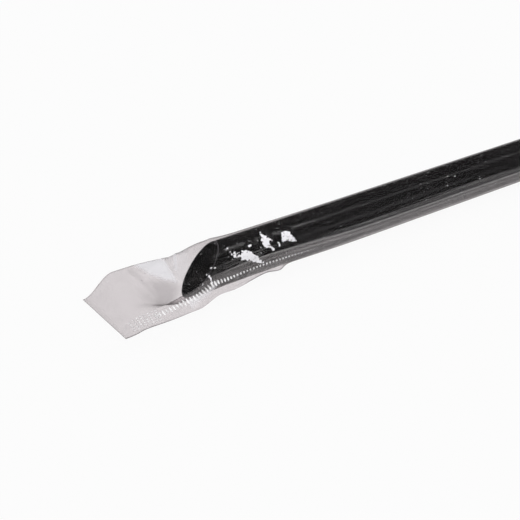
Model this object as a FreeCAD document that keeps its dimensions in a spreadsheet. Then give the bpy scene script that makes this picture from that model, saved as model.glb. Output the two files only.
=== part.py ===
import FreeCAD, Part

import math
import os
from collections import namedtuple
from types import SimpleNamespace

import Sketcher
from FreeCAD import Placement, Rotation, Vector

# The sizes of the wrapped straw, in millimetres and degrees. The lead end is the one
# with the pointed tip and the tail end the other. Places along the pack are counted
# from its lead end edge, and the sleeve's section is seen along the straw: its far
# fold is at +Y and the seam with its fin at -Y.
SIZES = (
    ("straw_length", 210.0, "overall, from the point of the tip to the square end"),
    ("straw_diameter", 12.0, "outside"),
    ("straw_wall", 0.25, "extruded wall"),
    ("cut_angle", 45.0, "between the slanting cut and the axis"),
    ("cut_roll", 20.0, "how far the tip is turned from straight down to the seam"),
    ("film_thickness", 0.12, "one layer of the wrapper"),
    ("film_clearance", 0.15, "between the straw and the film all round"),
    ("girth_slack", 0.2, "spare radius that pinches into the folds"),
    ("lead_flag", 23.3, "film past the tip"),
    ("tail_flag", 12.0, "film past the square end"),
    ("end_seal", 1.5, "width of the welded strip along each end edge"),
    ("end_gap", 0.5, "straight sleeve past the straw's square end"),
    ("fin_width", 5.3, "from the sleeve to the fin's free edge"),
    ("fin_start", 72.0, "downward turn of the curled fin where it leaves the sleeve"),
    ("fin_finish", 146.0, "downward turn of the curled fin at its free edge"),
    ("fin_turn_length", 2.5, "past the rim, where the fin has turned down"),
    ("fin_wrap_length", 20.0, "past the rim, where its free edge hugs the sleeve"),
    ("edge_tilt", 11.4, "of the lead end edge, whose far corner touches down"),
    ("edge_skew", 2.7, "how far its far corner runs ahead of the fin's corner"),
    ("flag_height", 6.0, "of the lead flag, where it stands clear of the surface"),
    ("flag_shift", 1.0, "of the lead flag to the far side of the straw's axis"),
    ("droop_length", 9.0, "over which the flag bends down to its end edge"),
    ("flag_opening", 0.8, "rise of each layer where the flag stands clear"),
    ("seal_opening", 0.05, "rise of each layer where the end seal begins"),
    ("touch_down", 2.0, "ahead of the tip, where the lower layer meets the surface"),
    ("fold_lift", 0.8, "how far both folds ride up beside the slanting cut"),
    ("seam_roll", 20.0, "how far the seam is turned up around the straw's rim"),
    ("seam_level", 5.0, "how far it is turned up along the rest of the straw"),
    ("roll_length", 8.0, "past the rim, where the seam is turned up most"),
    ("unroll_length", 45.0, "past the rim, where the seam has settled"),
    ("tent_rise", 2.6, "of the upper layer above the folds at the tip"),
    ("slack", 0.35, "extra room over the straw just behind the rim"),
)

# A quarter circle drawn as a cubic curve has its handles at this share of its radius.
ROUND_HANDLE = 0.5523
# The handles of a flat, pointed section reach back this far from its corner.
FLAT_HANDLE = 0.5
# A quarter of an ellipse with half axes a and b is (a**N + b**N) ** (1 / N) long.
GIRTH_POWER = math.log(2) / math.log(math.pi / 2)
# The wedge of the slanting cut stands this far clear of the straw.
CUT_CLEARANCE = 2.0
# How many times the lower layer's drop is worked out again from the width it gives.
SETTLING_STEPS = 4
LEAD_STATIONS = 12
UNROLL_STATIONS = 5
TAIL_STATIONS = 6

# One section of the wrapper: its distance along the pack, the height of its middle,
# the tilt that lifts the seam, the rise of the upper and the drop of the lower layer,
# how far the fin is turned down and wrapped, each from 0 to 1, how far the section is
# shifted to the far side and how much it is skewed.
Station = namedtuple(
    "Station", "distance middle tilt top under turned wrapped shift skew"
)


def make_sheet(doc):
    """The driving dimensions, one to a row: alias, value and what it measures."""
    sheet = doc.addObject("Spreadsheet::Sheet", "Sizes")
    for row, (alias, value, meaning) in enumerate(SIZES, start=1):
        sheet.set("A%d" % row, alias)
        sheet.set("B%d" % row, str(value))
        sheet.setAlias("B%d" % row, alias)
        sheet.set("C%d" % row, meaning)
    doc.recompute()
    return sheet


def read_sizes(sheet):
    """The sheet's values, and the lengths that follow from them."""
    size = SimpleNamespace(**{row[0]: float(sheet.get(row[0])) for row in SIZES})
    size.radius = size.straw_diameter / 2
    size.sleeve_radius = size.radius + size.film_clearance
    size.axis_height = size.sleeve_radius + size.film_thickness
    size.quarter_girth = (size.sleeve_radius + size.girth_slack) * math.pi / 2
    size.cut_length = size.straw_diameter / math.tan(math.radians(size.cut_angle))
    size.rim = size.lead_flag + size.cut_length
    size.straw_end = size.lead_flag + size.straw_length
    size.pack_length = size.straw_end + size.tail_flag
    return size


def new_sketch(body, name, role):
    """A sketch flat on the plane of that role in the body's own origin."""
    sketch = body.newObject("Sketcher::SketchObject", name)
    planes = [p for p in body.Origin.OriginFeatures if p.Role == role]
    sketch.AttachmentSupport = [(planes[0], "")]
    sketch.MapMode = "FlatFace"
    return sketch


def bind(sketch, constraint, name, rule):
    """Adds a constraint to the sketch and ties its value to the sheet."""
    number = sketch.addConstraint(constraint)
    sketch.renameConstraint(number, name)
    sketch.setExpression("Constraints." + name, rule)


def make_straw(doc):
    """The extruded tube along +X, with its tip at the bottom of the body's YZ plane."""
    body = doc.addObject("PartDesign::Body", "Straw")
    body.Label = "straw"

    # Each shape is drawn at a rough size, and its constraints then set the real one.
    ring = new_sketch(body, "RingSection", "YZ_Plane")
    circles = (
        ("outside", 2.0, "Sizes.straw_diameter / 2"),
        ("bore", 1.0, "Sizes.straw_diameter / 2 - Sizes.straw_wall"),
    )
    for index, (name, rough, rule) in enumerate(circles):
        ring.addGeometry(Part.Circle(Vector(0, 0, 0), Vector(0, 0, 1), rough), False)
        ring.addConstraint(Sketcher.Constraint("Coincident", index, 3, -1, 1))
        bind(ring, Sketcher.Constraint("Radius", index, rough), name, rule)
    tube = body.newObject("PartDesign::Pad", "Tube")
    tube.Profile = ring
    tube.setExpression("Length", "Sizes.straw_length")
    doc.recompute()

    # The cut takes off the wedge above a slanting line through the tip's lowest point.
    slope = "tan(Sizes.cut_angle * 1deg)"
    ahead = "-%g" % CUT_CLEARANCE
    above = "Sizes.straw_diameter / 2 + %g * %s" % (CUT_CLEARANCE, slope)
    below = "-(%s)" % above
    behind = "Sizes.straw_diameter / %s + %g" % (slope, CUT_CLEARANCE)
    corners = (
        ("low", Vector(-2, -8, 0), ahead, below),
        ("high", Vector(14, 8, 0), behind, above),
        ("back", Vector(-2, 8, 0), ahead, above),
    )
    following = corners[1:] + corners[:1]
    wedge = new_sketch(body, "CutWedge", "XZ_Plane")
    for (_, rough, _, _), (_, next_rough, _, _) in zip(corners, following):
        wedge.addGeometry(Part.LineSegment(rough, next_rough), False)
    for index in range(len(corners)):
        after = (index + 1) % len(corners)
        wedge.addConstraint(Sketcher.Constraint("Coincident", index, 2, after, 1))
    for index, (name, rough, along, height) in enumerate(corners):
        place = Sketcher.Constraint("DistanceX", -1, 1, index, 1, rough.x)
        bind(wedge, place, name + "_along", along)
        rise = Sketcher.Constraint("DistanceY", -1, 1, index, 1, rough.y)
        bind(wedge, rise, name + "_height", height)
    cut = body.newObject("PartDesign::Pocket", "SlantingCut")
    cut.Profile = wedge
    cut.Midplane = True
    cut.setExpression("Length", "Sizes.straw_diameter * 2")
    doc.recompute()
    return body


def ease(distance, start, finish):
    """A smooth step from 0 at start to 1 at finish."""
    share = min(max((distance - start) / (finish - start), 0.0), 1.0)
    return share * share * (3 - 2 * share)


def mix(first, second, share):
    return first + (second - first) * share


def half_width(size, rise):
    """Half the sleeve's width where its layers rise that far: the film can't stretch."""
    left = size.quarter_girth**GIRTH_POWER - rise**GIRTH_POWER
    return max(left, 0.0) ** (1 / GIRTH_POWER)


def drop_to_surface(size, middle, tilt, top):
    """How far the lower layer drops below a tilted middle to lie on the surface."""
    lean = math.radians(tilt)
    drop = middle - size.film_thickness
    for _ in range(SETTLING_STEPS):
        width = half_width(size, (top + drop) / 2) + size.film_thickness
        reach = math.sqrt(middle**2 - (width * math.sin(lean)) ** 2)
        drop = reach / math.cos(lean) - size.film_thickness
    return drop


def seam_turn(size, distance):
    """How far the seam is turned up around the straw."""
    most = size.rim + size.roll_length
    turned_up = size.seam_roll * ease(distance, size.droop_length, most)
    settled = ease(distance, most, size.rim + size.unroll_length)
    return mix(turned_up, size.seam_level, settled)


def fin_shares(size, distance):
    """How far the fin is turned down where it starts, and wrapped at its free edge."""
    turned = ease(distance, size.droop_length, size.rim + size.fin_turn_length)
    wrapped = ease(distance, size.droop_length, size.rim + size.fin_wrap_length)
    return turned, wrapped


def lead_station(size, distance):
    """The flag's end edge, its flat stretch and its opening up over the slanting cut."""
    tip = size.lead_flag
    raised = ease(distance, 0, size.droop_length)
    opened = ease(distance, size.droop_length, size.rim)
    corner = size.quarter_girth + size.film_thickness
    edge_middle = size.film_thickness + corner * math.sin(math.radians(size.edge_tilt))
    beside_cut = 1 - ease(abs(distance - mix(tip, size.rim, 0.5)), 0, size.cut_length / 2)
    middle = mix(edge_middle, size.flag_height, raised)
    middle = mix(middle, size.axis_height, opened) + size.fold_lift * beside_cut
    tilt = size.edge_tilt * (1 - raised) + seam_turn(size, distance)

    unsealed = ease(distance, size.end_seal, size.droop_length)
    layer = mix(size.seal_opening, size.flag_opening, unsealed)
    if distance < tip:
        top = mix(layer, size.tent_rise, ease(distance, size.droop_length, tip))
    else:
        share = (distance - tip) / size.cut_length
        top = mix(size.tent_rise, size.sleeve_radius + size.slack, share)
    landed = ease(distance, size.droop_length, tip - size.touch_down)
    shift = size.flag_shift * (1 - landed)
    under = layer
    if landed > 0:
        under = mix(layer, drop_to_surface(size, middle, tilt, top), landed)
    if distance < size.end_seal:
        top = under = 0.0

    skew = size.edge_skew / (2 * size.quarter_girth + size.fin_width) * (1 - raised)
    shares = fin_shares(size, distance)
    return Station(distance, middle, tilt, top, under, *shares, shift, skew)


def sleeve_station(size, distance):
    """The round stretch, where the seam settles and the slack ends."""
    level = ease(distance, size.rim, size.rim + size.unroll_length)
    top = size.sleeve_radius + size.slack * (1 - level)
    tilt = seam_turn(size, distance)
    under = drop_to_surface(size, size.axis_height, tilt, top)
    shares = fin_shares(size, distance)
    return Station(distance, size.axis_height, tilt, top, under, *shares, 0.0, 0.0)


def tail_station(size, distance):
    """The sleeve closing down to a flat end that lies on the surface."""
    start = size.straw_end + size.end_gap
    share = ease(distance, start, size.pack_length - size.end_seal)
    top = mix(size.sleeve_radius, size.seal_opening, share)
    if distance > size.pack_length - size.end_seal:
        top = 0.0
    middle = top + size.film_thickness
    tilt = size.seam_level * (1 - share)
    under = drop_to_surface(size, middle, tilt, top)
    curl = (1 - share) ** 3
    return Station(distance, middle, tilt, top, under, curl, curl, 0.0, 0.0)


def evenly(start, finish, count):
    """That many places from start to finish, without start itself."""
    return [mix(start, finish, (step + 1) / count) for step in range(count)]


def all_stations(size):
    """The sections from the lead end edge to the tail end edge."""
    settled = size.rim + size.unroll_length
    unsealed = size.pack_length - size.end_seal
    opening = [size.end_seal] + evenly(size.end_seal, size.rim, LEAD_STATIONS)
    unrolling = evenly(size.rim, settled, UNROLL_STATIONS)
    square_end = size.straw_end + size.end_gap
    closing = [square_end] + evenly(square_end, unsealed, TAIL_STATIONS)
    stations = [lead_station(size, 0.0)]
    stations += [lead_station(size, distance) for distance in opening]
    stations += [sleeve_station(size, distance) for distance in unrolling]
    stations += [tail_station(size, distance) for distance in closing]
    stations += [tail_station(size, size.pack_length)]
    return stations


def placer(station, corner):
    """Puts a point of a section, across from its middle and up, on the pack."""
    lean = math.radians(station.tilt)

    def place(across, up):
        along = station.distance + station.skew * (corner - across)
        y = station.shift + across * math.cos(lean) + up * math.sin(lean)
        z = station.middle - across * math.sin(lean) + up * math.cos(lean)
        return Vector(along, y, z)

    return place


def quarter(width, base, rise, side):
    """The poles of one quarter of a section, from its corner to its middle."""
    flatness = max(0.0, 1 - abs(rise) / width) * FLAT_HANDLE
    return [
        (side * width, base),
        (side * width * (1 - flatness), base + ROUND_HANDLE * rise),
        (side * width * ROUND_HANDLE, base + rise),
        (0.0, base + rise),
    ]


def curve(place, poles):
    """One edge through a section's poles."""
    path = Part.BezierCurve()
    path.setPoles([place(across, up) for across, up in poles])
    return path.toShape()


def cavity_section(size, station):
    """The inside of the sleeve: an upper and a lower layer that meet at two folds."""
    width = half_width(size, (station.top + station.under) / 2)
    place = placer(station, width)
    quarters = [
        quarter(width, 0.0, station.top, 1),
        quarter(width, 0.0, station.top, -1)[::-1],
        quarter(width, 0.0, -station.under, -1),
        quarter(width, 0.0, -station.under, 1)[::-1],
    ]
    return Part.Wire([curve(place, poles) for poles in quarters])


def fin_sides(size, station, corner):
    """The poles of the fin's upper and lower side, both from the sleeve outwards."""
    turns = (
        math.radians(size.fin_start * station.turned),
        math.radians(size.fin_finish * station.wrapped),
    )
    step = size.fin_width / 2
    thick = size.film_thickness
    middle = [(-corner, 0.0)]
    for turn in turns:
        across, up = middle[-1]
        middle.append((across - step * math.cos(turn), up - step * math.sin(turn)))
    bend = sum(turns) / 2
    upper = [(-corner, thick)]
    lower = [(-corner, -thick)]
    for (across, up), turn in zip(middle[1:], (bend, turns[1])):
        shift = (-thick * math.sin(turn), thick * math.cos(turn))
        upper.append((across + shift[0], up + shift[1]))
        lower.append((across - shift[0], up - shift[1]))
    return upper, lower


def outer_section(size, station):
    """The outside of both layers with the fin, one closed outline."""
    thick = size.film_thickness
    width = half_width(size, (station.top + station.under) / 2)
    corner = width + thick
    place = placer(station, corner)
    upper, lower = fin_sides(size, station, corner)
    outline = [
        quarter(corner, thick, station.top, 1),
        quarter(corner, thick, station.top, -1)[::-1],
        upper,
        [upper[-1], lower[-1]],
        lower[::-1],
        quarter(corner, -thick, -station.under, -1),
        quarter(corner, -thick, -station.under, 1)[::-1],
        [(corner, -thick), (corner, thick)],
    ]
    return Part.Wire([curve(place, poles) for poles in outline])


def make_wrapper(doc, size):
    """The folded and sealed film: the outside less the room between its two layers."""
    stations = all_stations(size)
    outside = Part.makeLoft([outer_section(size, s) for s in stations], True, True)
    open_run = stations[1:-1]
    inside = Part.makeLoft([cavity_section(size, s) for s in open_run], True, True)
    wrapper = doc.addObject("Part::Feature", "FilmWrapper")
    wrapper.Label = "film_wrapper"
    wrapper.Shape = outside.cut(inside)
    return wrapper


def check(doc, parts):
    """Stops the build at a failed feature or a broken shape."""
    for item in doc.Objects:
        if "Invalid" in item.State or "Error" in item.State:
            raise RuntimeError("%s failed: %s" % (item.Label, item.State))
    for part in parts:
        if part.Shape.isNull() or not part.Shape.isValid():
            raise RuntimeError("%s has no valid shape" % part.Label)
        if len(part.Shape.Solids) != 1:
            raise RuntimeError("%s isn't one solid" % part.Label)


def main():
    doc = FreeCAD.newDocument("WrappedStraw")
    sheet = make_sheet(doc)
    size = read_sizes(sheet)
    straw = make_straw(doc)
    wrapper = make_wrapper(doc, size)

    # The frame's origin is on the surface, under the middle of the wrapper's box.
    box = wrapper.Shape.optimalBoundingBox()
    origin = Vector(box.Center.x, box.Center.y, box.ZMin)
    wrapper.Placement = Placement(-origin, Rotation())
    roll = Rotation(Vector(1, 0, 0), -size.cut_roll)
    seat = Vector(size.lead_flag, 0, size.axis_height)
    straw.Placement = Placement(seat - origin, roll)
    doc.recompute()

    parts = [straw, wrapper]
    check(doc, parts)
    os.makedirs("parts", exist_ok=True)
    for part in parts:
        part.Shape.exportStep("parts/%s.step" % part.Label)
        print(part.Label, round(part.Shape.Volume, 1), part.Shape.BoundBox)


main()
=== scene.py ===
"""A wide black drinking straw with a slanting tip, sealed in a clear film wrapper.

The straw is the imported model's own node with a better finish. The wrapper is one sheet
of film, folded round the straw and pressed together in a fin along the near side, with
its creases, puckers and welded rungs. Lengths are in millimetres here and become metres
as each mesh is made.
"""

import logging
import math
from collections.abc import Callable
from dataclasses import dataclass, replace
from enum import Enum

import bpy
from mathutils import Matrix, Vector, noise


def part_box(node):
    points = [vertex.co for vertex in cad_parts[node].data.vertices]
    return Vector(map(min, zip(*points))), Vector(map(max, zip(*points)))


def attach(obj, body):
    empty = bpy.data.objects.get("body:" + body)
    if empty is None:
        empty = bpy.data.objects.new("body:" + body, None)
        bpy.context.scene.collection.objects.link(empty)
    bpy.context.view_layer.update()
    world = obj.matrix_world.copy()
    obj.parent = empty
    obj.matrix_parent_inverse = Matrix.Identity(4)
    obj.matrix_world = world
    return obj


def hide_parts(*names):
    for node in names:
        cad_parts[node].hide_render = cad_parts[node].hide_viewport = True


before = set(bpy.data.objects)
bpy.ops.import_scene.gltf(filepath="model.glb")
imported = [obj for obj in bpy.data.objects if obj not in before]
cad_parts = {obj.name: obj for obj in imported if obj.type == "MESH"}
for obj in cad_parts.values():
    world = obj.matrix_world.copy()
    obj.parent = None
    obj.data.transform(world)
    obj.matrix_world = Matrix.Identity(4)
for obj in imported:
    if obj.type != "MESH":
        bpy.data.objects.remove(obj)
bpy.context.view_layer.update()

MM = 0.001
BODY = "root"

log = logging.getLogger("wrapped_straw")

Spot = tuple[float, float]
Grain = tuple[float, float, float]
Colour = tuple[float, float, float, float]
Socket = bpy.types.NodeSocket
Feeds = dict[str | int, object]

WHITE: Colour = (1.0, 1.0, 1.0, 1.0)


class Node(Enum):
    """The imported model's nodes."""

    STRAW = "straw"
    FILM = "film_wrapper"


class Slot(Enum):
    """The record's material slots that the wrapper's pieces have."""

    FILM = "clear_film"


class Layer(Enum):
    """The two layers of the folded sheet."""

    UPPER = 1
    LOWER = -1


class Effect(Enum):
    """Which painted light a patch of the film carries: a painted glint (gleam), a painted sheen or
    painted shade; each value names a mesh attribute.
    """

    GLEAM = "gleam"
    PAINTED_SHEEN = "frost"
    SHADE = "shade"


def ease(value: float, start: float, finish: float) -> float:
    """A smooth step from 0 at start to 1 at finish.

    Args:
        value: Where the step is read.
        start: Where it begins.
        finish: Where it ends.

    Returns:
        The step's height, from 0 to 1.
    """
    share = min(max((value - start) / (finish - start), 0.0), 1.0)
    return share * share * (3 - 2 * share)


def mix(first: float, second: float, share: float) -> float:
    """The value that lies that share of the way from first to second."""
    return first + (second - first) * share


def add_object(name: str, data: bpy.types.ID) -> bpy.types.Object:
    """Makes an object and puts it in the scene.

    Args:
        name: Its name.
        data: Its mesh, lamp or camera.

    Returns:
        The object.
    """
    made = bpy.data.objects.new(name, data)
    bpy.context.scene.collection.objects.link(made)
    return made


def add_attribute(mesh: bpy.types.Mesh, name: str, values: list) -> None:
    """Gives each point of a mesh a value.

    Args:
        mesh: The mesh.
        name: The attribute's name.
        values: Numbers or vectors, one for each point.
    """
    if isinstance(values[0], Vector):
        held = mesh.attributes.new(name, "FLOAT_VECTOR", "POINT")
        held.data.foreach_set("vector", [part for value in values for part in value])
    else:
        held = mesh.attributes.new(name, "FLOAT", "POINT")
        held.data.foreach_set("value", values)


@dataclass(frozen=True)
class PackSizes:
    """The wrapper's driving sizes, in millimetres and degrees, as the solids have them."""

    straw_length: float = 210.0
    straw_diameter: float = 12.0
    cut_angle: float = 45.0
    cut_roll: float = 20.0
    film_clearance: float = 0.15
    solid_film: float = 0.12
    girth_slack: float = 0.2
    lead_flag: float = 23.3
    tail_flag: float = 12.0
    end_seal: float = 1.5
    end_gap: float = 0.5
    fin_width: float = 5.3
    fin_start: float = 72.0
    fin_finish: float = 146.0
    fin_turn_length: float = 2.5
    fin_wrap_length: float = 20.0
    edge_tilt: float = 11.4
    edge_skew: float = 2.7
    flag_height: float = 6.0
    flag_shift: float = 1.0
    droop_length: float = 9.0
    flag_opening: float = 0.8
    touch_down: float = 2.0
    fold_lift: float = 0.8
    seam_roll: float = 20.0
    seam_level: float = 5.0
    roll_length: float = 8.0
    unroll_length: float = 45.0
    tent_rise: float = 2.6
    slack: float = 0.35

    @property
    def sleeve_radius(self) -> float:
        """Inner radius of the sleeve round the straw."""
        return self.straw_diameter / 2 + self.film_clearance

    @property
    def axis_height(self) -> float:
        """Height of the straw's axis above the surface."""
        return self.sleeve_radius + self.solid_film

    @property
    def quarter_girth(self) -> float:
        """A quarter of the sleeve's girth, which the film keeps everywhere."""
        return (self.sleeve_radius + self.girth_slack) * math.pi / 2

    @property
    def cut_length(self) -> float:
        """Length of the slanting cut along the straw."""
        return self.straw_diameter / math.tan(math.radians(self.cut_angle))

    @property
    def rim(self) -> float:
        """Where the slanting cut ends, from the lead end edge."""
        return self.lead_flag + self.cut_length

    @property
    def straw_end(self) -> float:
        """Where the straw's square end is, from the lead end edge."""
        return self.lead_flag + self.straw_length

    @property
    def pack_length(self) -> float:
        """The wrapper's length from end edge to end edge."""
        return self.straw_end + self.tail_flag

    @property
    def flat_width(self) -> float:
        """Width of the sheet before it is folded."""
        return 4 * self.quarter_girth + 2 * self.fin_width


def pack_origin(sizes: PackSizes) -> Vector:
    """What carries a place on the pack into the frame, from the straw's own box.

    Args:
        sizes: The wrapper's sizes.

    Returns:
        The move, in millimetres.
    """
    low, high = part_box(Node.STRAW.value)
    tip = low.x / MM
    axis = (low.y + high.y) / 2 / MM
    return Vector((tip - sizes.lead_flag, axis, 0.0))


@dataclass(frozen=True)
class Section:
    """One section of the sleeve, seen along the straw.

    Attributes:
        distance: From the lead end edge.
        middle: Height of the section's middle.
        tilt: Degrees by which its seam side is lifted.
        top: Rise of the upper layer.
        under: Drop of the lower layer.
        turned: How far the fin is turned down where it starts, from 0 to 1.
        wrapped: How far its free edge is wrapped round, from 0 to 1.
        shift: To the far side of the straw's axis.
        skew: How far the far side runs ahead, for each millimetre across.
    """

    distance: float
    middle: float
    tilt: float
    top: float
    under: float
    turned: float
    wrapped: float
    shift: float = 0.0
    skew: float = 0.0


@dataclass(frozen=True)
class Crease:
    """A straight fold line in the flag's upper layer, pressed up or down.

    Attributes:
        start: Its first end: distance from the end edge, and across.
        finish: Its last end, likewise.
        rise: Its height; negative for a valley.
        width: How far its slopes reach to each side.
    """

    FADE_IN = (-0.15, 0.2)
    FADE_OUT = (0.8, 1.15)

    start: Spot
    finish: Spot
    rise: float
    width: float

    def height(self, along: float, across: float) -> float:
        """How much the crease lifts the film at one place.

        Args:
            along: Distance from the end edge.
            across: Across the flag, the far side positive.

        Returns:
            The lift in millimetres.
        """
        run_x = self.finish[0] - self.start[0]
        run_y = self.finish[1] - self.start[1]
        length = math.hypot(run_x, run_y)
        to_x = along - self.start[0]
        to_y = across - self.start[1]
        share = (to_x * run_x + to_y * run_y) / length**2
        off = abs(to_x * run_y - to_y * run_x) / length
        slope = max(0.0, 1 - off / self.width)
        fade = ease(share, *self.FADE_IN) * (1 - ease(share, *self.FADE_OUT))
        return self.rise * slope * fade


@dataclass(frozen=True)
class PaintedPatch:
    """A patch of the film painted lighter or darker than the rest: painted highlight where its
    creases and puckers would catch the lamps, painted shade in its dimple.

    Attributes:
        corners: Distance from the lead end edge and place across, in turn; across is in
            millimetres on the flag, and degrees round the straw on the sleeve.
        effect: Which painted light it carries.
        strength: How strongly, from 0 to 1.
        soft: Width of its blurred border, in millimetres.
        on_sleeve: Whether it lies on the sleeve round the straw.
    """

    corners: tuple[Spot, ...]
    effect: Effect = Effect.GLEAM
    strength: float = 1.0
    soft: float = 0.5
    on_sleeve: bool = True

    def share(self, along: float, across: float, arc: float) -> float:
        """How much of the effect reaches one place.

        Args:
            along: Distance from the lead end edge.
            across: Across the flag in millimetres, or round the straw in degrees.
            arc: Millimetres to each unit of across.

        Returns:
            The share, from 0 to 1, with a half at the patch's border.
        """
        spot = Vector((along, across * arc))
        ring = [Vector((corner[0], corner[1] * arc)) for corner in self.corners]
        nearest = math.inf
        inside = False
        for first, second in zip(ring, ring[1:] + ring[:1]):
            run = second - first
            reach = min(max((spot - first).dot(run) / run.length_squared, 0.0), 1.0)
            nearest = min(nearest, (spot - first - run * reach).length)
            if (first.y > spot.y) != (second.y > spot.y):
                crossing = first.x + (spot.y - first.y) * run.x / run.y
                inside = inside != (spot.x < crossing)
        signed = nearest if inside else -nearest
        return self.strength * min(max(0.5 + signed / self.soft, 0.0), 1.0)


@dataclass(frozen=True)
class FinLump:
    """A place where the fin stands off the straw a little.

    Attributes:
        distance: Its middle, from the lead end edge.
        spread: Half its length, in millimetres.
        release: How much of the fin's wrap it takes back.
    """

    distance: float
    spread: float
    release: float

    def share(self, along: float) -> float:
        """How much of the wrap is taken back at a distance from the lead end edge."""
        return self.release * math.exp(-(((along - self.distance) / self.spread) ** 2))


@dataclass(frozen=True)
class Pucker:
    """A small standing wrinkle of the film over the straw.

    Attributes:
        distance: From the lead end edge.
        angle: Its place round the straw, degrees above the seam side's level.
        length: Half its size along the straw.
        reach: Half its size round the straw, in degrees.
        rise: Its height.
        lean: Where its ridge is, from -1 at the lead side to 1 at the tail side.
        turn: Degrees by which it is turned from square to the straw.
    """

    FLANK = (0.45, 1.0)

    distance: float
    angle: float
    length: float
    reach: float
    rise: float
    lean: float
    turn: float

    def height(self, along: float, angle: float, radius: float) -> float:
        """How much the pucker lifts the film at one place.

        Args:
            along: Distance from the lead end edge.
            angle: Degrees round the straw.
            radius: Of the sleeve there.

        Returns:
            The lift in millimetres.
        """
        arc = math.radians(angle - self.angle) * radius
        turn = math.radians(self.turn)
        step = along - self.distance
        here = (step * math.cos(turn) + arc * math.sin(turn)) / self.length
        side = arc * math.cos(turn) - step * math.sin(turn)
        side /= math.radians(self.reach) * radius
        if abs(here) >= 1 or abs(side) >= 1:
            return 0.0
        if here < self.lean:
            ramp = (here + 1) / (self.lean + 1)
        else:
            ramp = (1 - here) / (1 - self.lean)
        return self.rise * ramp * (1 - ease(abs(side), *self.FLANK))


@dataclass(frozen=True)
class SeamLine:
    """A line on the fin that marks follow.

    Attributes:
        points: Its points, in millimetres on the pack.
        outwards: The direction out of the film at each.
        full_until: Up to where the marks keep their full length.
        short_from: From where on they are short.
        shortest: The short marks' share of the full length.
    """

    points: list[Vector]
    outwards: list[Vector]
    full_until: float = 0.0
    short_from: float = 1.0
    shortest: float = 1.0

    def reaches(self) -> list[float]:
        """How much of its full length a mark has at each point."""
        return [
            mix(1.0, self.shortest, ease(point.x, self.full_until, self.short_from))
            for point in self.points
        ]

    def forwards(self) -> list[Vector]:
        """The direction along the line at each point."""
        ends = [self.points[0], *self.points, self.points[-1]]
        return [(ends[i + 2] - ends[i]).normalized() for i in range(len(self.points))]


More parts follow.
